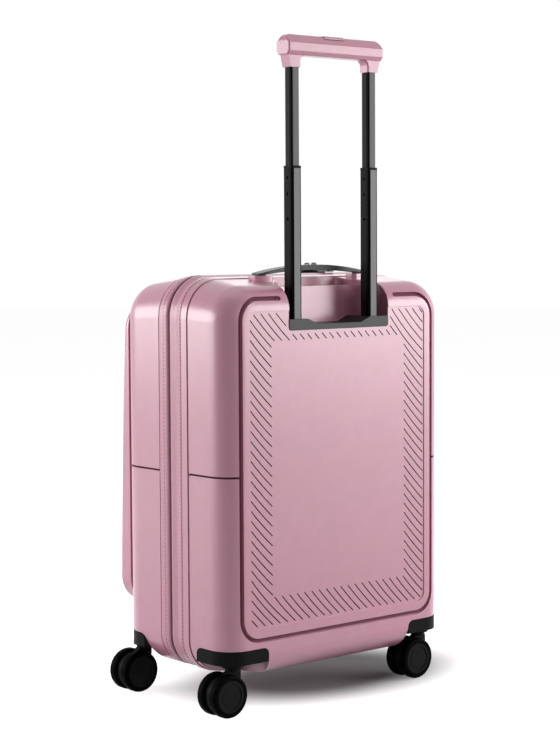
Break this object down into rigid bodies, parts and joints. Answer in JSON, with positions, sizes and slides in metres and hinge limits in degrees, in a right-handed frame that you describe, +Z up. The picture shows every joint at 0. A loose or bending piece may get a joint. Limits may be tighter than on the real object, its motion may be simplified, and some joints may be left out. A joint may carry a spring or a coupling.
{
  "type": "hard shell suitcase on wheels",
  "caption": "Upright hard shell cabin suitcase with a telescopic trolley handle, twin-wheel swivel casters, zip expander band, hinged front half and a fold-down front pocket.",
  "frame": {"origin": "on the floor, under the middle of the case's width and 128.15 mm in front of the back face", "axes": "+Z up, +X across the case, -Y towards the trolley side and +Y towards the pocket"},
  "size_m": [0.3977, 0.258, 0.8518],
  "materials": {
    "shell": "satin, fine grain",
    "grip": "satin",
    "band": "woven, stitched edges",
    "lining": "woven lining",
    "zip": "zip tape and coil",
    "trim": "matt black",
    "tube": "dark anodised",
    "pull": "black",
    "tyre": "matt",
    "hub": "semi-gloss",
    "steel": "plain"
  },
  "bodies": {
    "rear": {"rear_shell": "shell", "base_plate": "trim", "outer_tube_left": "tube", "outer_tube_right": "tube", "tube_foot": "trim", "bracket_rear_left": "trim", "bracket_rear_right": "trim", "carry_mount_left": "trim", "carry_mount_right": "trim", "gusset": "lining"},
    "carry": {"carry_handle": "trim"},
    "expander": {"expander_band": "band", "rear_zip_teeth": "zip"},
    "front": {"front_shell": "shell", "front_zip_tape": "band", "front_zip_teeth": "zip", "pocket_liner": "lining", "pocket_zip": "zip", "bracket_front_left": "trim", "bracket_front_right": "trim", "lock_body": "trim", "zip_pulls": "pull"},
    "door": {"pocket_door": "shell"},
    "mid": {"mid_tube_left": "tube", "mid_tube_right": "tube", "mid_bushes": "trim"},
    "upper": {"upper_tube_left": "tube", "upper_tube_right": "tube", "grip": "grip"},
    "release": {"grip_button": "grip", "release_link": "tube"},
    "caster_rear_left": {"fork_rear_left": "trim", "swivel_pin_rear_left": "steel", "axle_rear_left": "steel"},
    "wheel_rear_left_back": {"tyre_rear_left_back": "tyre", "hub_rear_left_back": "hub"},
    "wheel_rear_left_front": {"tyre_rear_left_front": "tyre", "hub_rear_left_front": "hub"},
    "caster_rear_right": {"fork_rear_right": "trim", "swivel_pin_rear_right": "steel", "axle_rear_right": "steel"},
    "wheel_rear_right_back": {"tyre_rear_right_back": "tyre", "hub_rear_right_back": "hub"},
    "wheel_rear_right_front": {"tyre_rear_right_front": "tyre", "hub_rear_right_front": "hub"},
    "caster_front_left": {"fork_front_left": "trim", "swivel_pin_front_left": "steel", "axle_front_left": "steel"},
    "wheel_front_left_back": {"tyre_front_left_back": "tyre", "hub_front_left_back": "hub"},
    "wheel_front_left_front": {"tyre_front_left_front": "tyre", "hub_front_left_front": "hub"},
    "caster_front_right": {"fork_front_right": "trim", "swivel_pin_front_right": "steel", "axle_front_right": "steel"},
    "wheel_front_right_back": {"tyre_front_right_back": "tyre", "hub_front_right_back": "hub"},
    "wheel_front_right_front": {"tyre_front_right_front": "tyre", "hub_front_right_front": "hub"}
  },
  "joints": [
    {"name": "carry_lift", "type": "slide", "parent": "rear", "child": "carry", "axis": [0, 0, 1], "range_m": [0, 0.012]},
    {"name": "expander_slide", "type": "slide", "parent": "rear", "child": "expander", "axis": [0, 1, 0], "range_m": [0, 0.035], "deforming": ["gusset"]},
    {"name": "front_hinge", "type": "hinge", "parent": "expander", "child": "front", "pos_m": [0.1905, -0.01315, 0.2975], "axis": [0, 0, -1], "range_deg": [0, 140]},
    {"name": "pocket_hinge", "type": "hinge", "parent": "front", "child": "door", "pos_m": [0, 0.1023, 0.11], "axis": [-1, 0, 0], "range_deg": [0, 75]},
    {"name": "mid_slide", "type": "slide", "parent": "rear", "child": "mid", "axis": [0, 0, 1], "range_m": [-0.1895, 0]},
    {"name": "upper_slide", "type": "slide", "parent": "mid", "child": "upper", "axis": [0, 0, 1], "range_m": [-0.1225, 0]},
    {"name": "button_press", "type": "slide", "parent": "upper", "child": "release", "axis": [0, 0, -1], "range_m": [0, 0.004], "stiffness_N_per_m": 500, "springref_m": -0.006},
    {"name": "swivel_rear_left", "type": "hinge", "parent": "rear", "child": "caster_rear_left", "pos_m": [-0.163, -0.10465, 0.06], "axis": [0, 0, 1], "continuous": true},
    {"name": "spin_rear_left_back", "type": "hinge", "parent": "caster_rear_left", "child": "wheel_rear_left_back", "pos_m": [-0.1795, -0.10465, 0.0272], "axis": [0, 1, 0], "continuous": true},
    {"name": "spin_rear_left_front", "type": "hinge", "parent": "caster_rear_left", "child": "wheel_rear_left_front", "pos_m": [-0.1795, -0.10465, 0.0272], "axis": [0, 1, 0], "continuous": true},
    {"name": "swivel_rear_right", "type": "hinge", "parent": "rear", "child": "caster_rear_right", "pos_m": [0.163, -0.10465, 0.06], "axis": [0, 0, 1], "continuous": true},
    {"name": "spin_rear_right_back", "type": "hinge", "parent": "caster_rear_right", "child": "wheel_rear_right_back", "pos_m": [0.1465, -0.10465, 0.0272], "axis": [0, 1, 0], "continuous": true},
    {"name": "spin_rear_right_front", "type": "hinge", "parent": "caster_rear_right", "child": "wheel_rear_right_front", "pos_m": [0.1465, -0.10465, 0.0272], "axis": [0, 1, 0], "continuous": true},
    {"name": "swivel_front_left", "type": "hinge", "parent": "front", "child": "caster_front_left", "pos_m": [-0.163, 0.08215, 0.06], "axis": [0, 0, 1], "continuous": true},
    {"name": "spin_front_left_back", "type": "hinge", "parent": "caster_front_left", "child": "wheel_front_left_back", "pos_m": [-0.1795, 0.08215, 0.0272], "axis": [0, 1, 0], "continuous": true},
    {"name": "spin_front_left_front", "type": "hinge", "parent": "caster_front_left", "child": "wheel_front_left_front", "pos_m": [-0.1795, 0.08215, 0.0272], "axis": [0, 1, 0], "continuous": true},
    {"name": "swivel_front_right", "type": "hinge", "parent": "front", "child": "caster_front_right", "pos_m": [0.163, 0.08215, 0.06], "axis": [0, 0, 1], "continuous": true},
    {"name": "spin_front_right_back", "type": "hinge", "parent": "caster_front_right", "child": "wheel_front_right_back", "pos_m": [0.1465, 0.08215, 0.0272], "axis": [0, 1, 0], "continuous": true},
    {"name": "spin_front_right_front", "type": "hinge", "parent": "caster_front_right", "child": "wheel_front_right_front", "pos_m": [0.1465, 0.08215, 0.0272], "axis": [0, 1, 0], "continuous": true}
  ]
}
